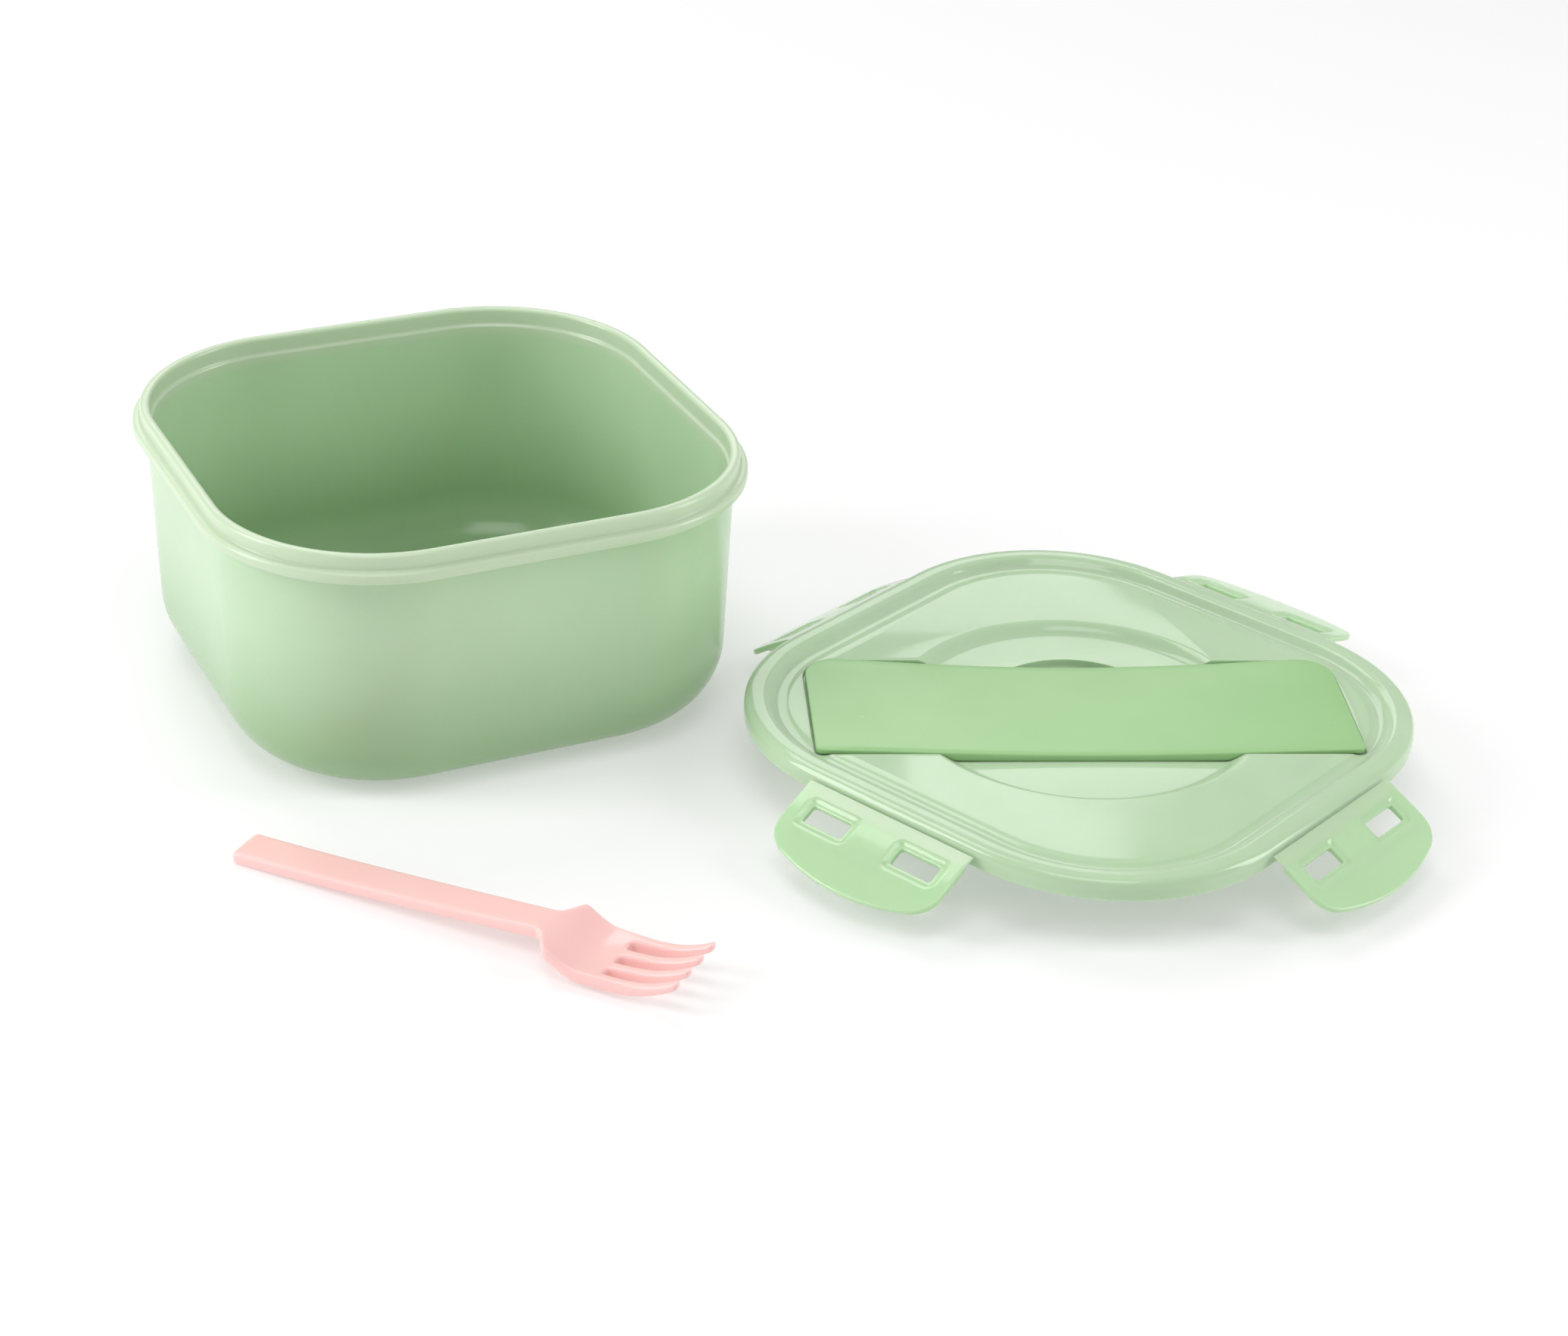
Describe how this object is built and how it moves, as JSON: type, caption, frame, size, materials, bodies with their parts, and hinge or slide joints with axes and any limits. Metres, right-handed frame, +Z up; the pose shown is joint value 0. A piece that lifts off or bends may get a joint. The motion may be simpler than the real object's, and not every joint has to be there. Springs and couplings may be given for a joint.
{
  "type": "snap lid food container",
  "caption": "Square rounded food bowl with a rimmed mouth, a snap lid with hinged latch flaps and a covered fork compartment, and a fork.",
  "frame": {"origin": "centre of the bowl's underside, on the surface that the set stands on", "axes": "+Z up; X and Y along the bowl's straight sides, with the lid lying towards +X and -Y"},
  "size_m": [0.3425, 0.3109, 0.079],
  "materials": {
    "bowl_plastic": "satin translucent green polypropylene",
    "lid_plastic": "glossy translucent green polypropylene",
    "seal_silicone": "matt milky silicone",
    "cover_plastic": "satin green polypropylene",
    "flap_plastic": "glossy translucent green polypropylene",
    "fork_plastic": "satin pink plastic"
  },
  "bodies": {
    "bowl": {"bowl": "bowl_plastic"},
    "lid": {"lid_shell": "lid_plastic", "lid_seal": "seal_silicone"},
    "cover": {"fork_compartment_cover": "cover_plastic"},
    "flap_back_right": {"latch_flap_back_right": "flap_plastic"},
    "flap_back_left": {"latch_flap_back_left": "flap_plastic"},
    "flap_front_left": {"latch_flap_front_left": "flap_plastic"},
    "flap_front_right": {"latch_flap_front_right": "flap_plastic"},
    "fork": {"fork": "fork_plastic"}
  },
  "joints": [
    {"name": "lid_lift", "type": "slide", "parent": "bowl", "child": "lid", "axis": [0, 0, 1], "range_m": [0, 0.1]},
    {"name": "fork_lift", "type": "slide", "parent": "bowl", "child": "fork", "axis": [0, 0, 1], "range_m": [0, 0.1]},
    {"name": "cover_hinge", "type": "hinge", "parent": "lid", "child": "cover", "pos_m": [0.13537, -0.15117, 0.0209], "axis": [0.9272, -0.3746, 0], "range_deg": [0, 110]},
    {"name": "back_right_flap_hinge", "type": "hinge", "parent": "lid", "child": "flap_back_right", "pos_m": [0.2229, -0.09366, 0.0202], "axis": [-0.3907, 0.9205, 0], "range_deg": [-103, 84], "stiffness_Nm_per_rad": 0.02},
    {"name": "back_left_flap_hinge", "type": "hinge", "parent": "lid", "child": "flap_back_left", "pos_m": [0.11236, -0.049, 0.0202], "axis": [-0.9205, -0.3907, 0], "range_deg": [-120, 67], "stiffness_Nm_per_rad": 0.02},
    {"name": "front_left_flap_hinge", "type": "hinge", "parent": "lid", "child": "flap_front_left", "pos_m": [0.0677, -0.15954, 0.0202], "axis": [0.3907, -0.9205, 0], "range_deg": [-114, 73], "stiffness_Nm_per_rad": 0.02},
    {"name": "front_right_flap_hinge", "type": "hinge", "parent": "lid", "child": "flap_front_right", "pos_m": [0.17824, -0.2042, 0.0202], "axis": [0.9205, 0.3907, 0], "range_deg": [-114, 73], "stiffness_Nm_per_rad": 0.02}
  ]
}
